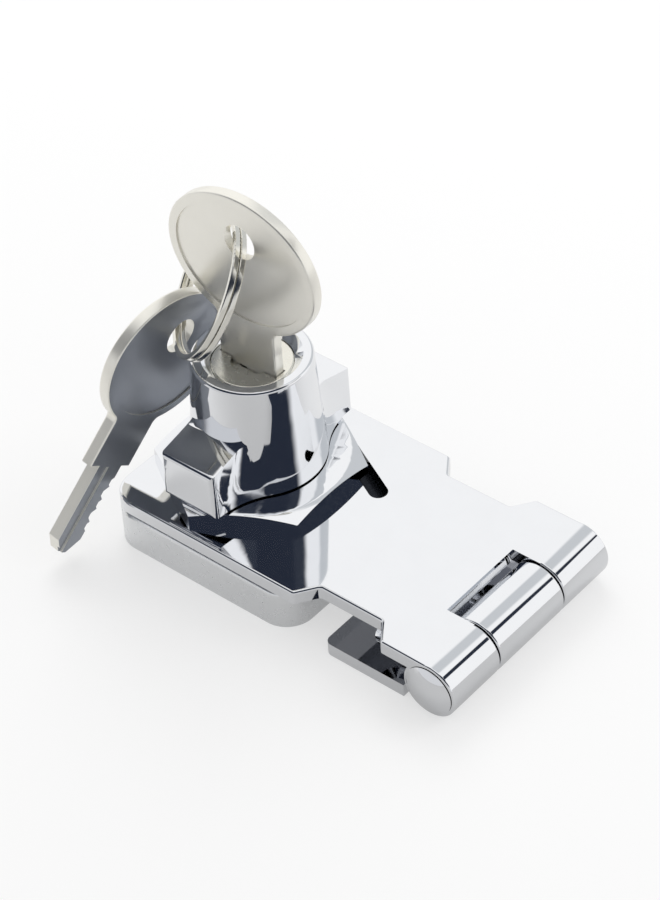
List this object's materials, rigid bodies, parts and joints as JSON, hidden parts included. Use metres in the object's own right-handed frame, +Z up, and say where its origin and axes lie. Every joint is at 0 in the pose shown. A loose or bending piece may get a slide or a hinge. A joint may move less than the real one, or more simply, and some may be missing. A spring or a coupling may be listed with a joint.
{
  "type": "door latch",
  "caption": "Chromed hasp with a keyed turn knob: a hinged plate closes over a strike base, and a turned cam under the knob holds it shut.",
  "frame": {"origin": "on the mounting plane, under the axis of the lock, midway between the strike base's two screw holes", "axes": "+X towards the hinge, +Y along the hinge pin, +Z up, away from the door; the hasp is closed"},
  "size_m": [0.0669, 0.0466, 0.0571],
  "materials": {
    "chrome": "bright chrome plate",
    "satin_zinc": "satin chrome plate on die-cast zinc",
    "nickel": "nickel plate",
    "plug_nickel": "nickel plate",
    "ring_steel": "nickel-plated spring steel",
    "zinc_steel": "zinc-plated steel",
    "brass": "stamped brass",
    "spring_steel": "drawn wire"
  },
  "bodies": {
    "base": {"mounting_leaf": "chrome", "hinge_pin": "chrome", "strike_base": "satin_zinc"},
    "hasp": {"hasp_plate": "chrome", "lock_bushing": "zinc_steel", "hex_nut": "chrome"},
    "knob": {"knob": "chrome", "turn_cam": "zinc_steel", "cam_washer": "zinc_steel", "cam_screw": "zinc_steel", "retaining_pin": "zinc_steel"},
    "plug": {"lock_plug": "plug_nickel", "wafer_1": "brass", "wafer_2": "brass", "wafer_3": "brass", "wafer_4": "brass", "wafer_5": "brass", "wafer_spring_1": "spring_steel", "wafer_spring_2": "spring_steel", "wafer_spring_3": "spring_steel", "wafer_spring_4": "spring_steel", "wafer_spring_5": "spring_steel"},
    "bolt": {"locking_bolt": "zinc_steel"},
    "key": {"key": "nickel"},
    "ring": {"key_ring": "ring_steel"},
    "spare": {"spare_key": "nickel"}
  },
  "joints": [
    {"name": "hasp_hinge", "type": "hinge", "parent": "base", "child": "hasp", "pos_m": [0.04488, 0, 0.00442], "axis": [0, 1, 0], "range_deg": [0, 150]},
    {"name": "knob_turn", "type": "hinge", "parent": "hasp", "child": "knob", "pos_m": [0, 0, 0.00884], "axis": [0, 0, -1], "range_deg": [0, 90]},
    {"name": "plug_turn", "type": "hinge", "parent": "knob", "child": "plug", "pos_m": [0, 0, 0.0285], "axis": [0, 0, -1], "range_deg": [0, 45]},
    {"name": "bolt_slide", "type": "slide", "parent": "knob", "child": "bolt", "axis": [-1, 0, 0], "range_m": [0, 0.0011]},
    {"name": "key_slide", "type": "slide", "parent": "plug", "child": "key", "axis": [0, 0, 1], "range_m": [0, 0.0155]},
    {"name": "ring_swing", "type": "hinge", "parent": "key", "child": "ring", "pos_m": [-0.00036, -0.00014, 0.04915], "axis": [0.6358, -0.7474, -0.1927], "range_deg": [-35, 0]},
    {"name": "spare_key_swing", "type": "hinge", "parent": "ring", "child": "spare", "pos_m": [-0.01004, -0.00386, 0.03164], "axis": [0.6358, -0.7474, -0.1927], "range_deg": [-8, 0]}
  ],
  "couplings": [
    {"joint": "bolt_slide", "follows": "plug_turn", "m_per_rad": 0.0014006}
  ]
}
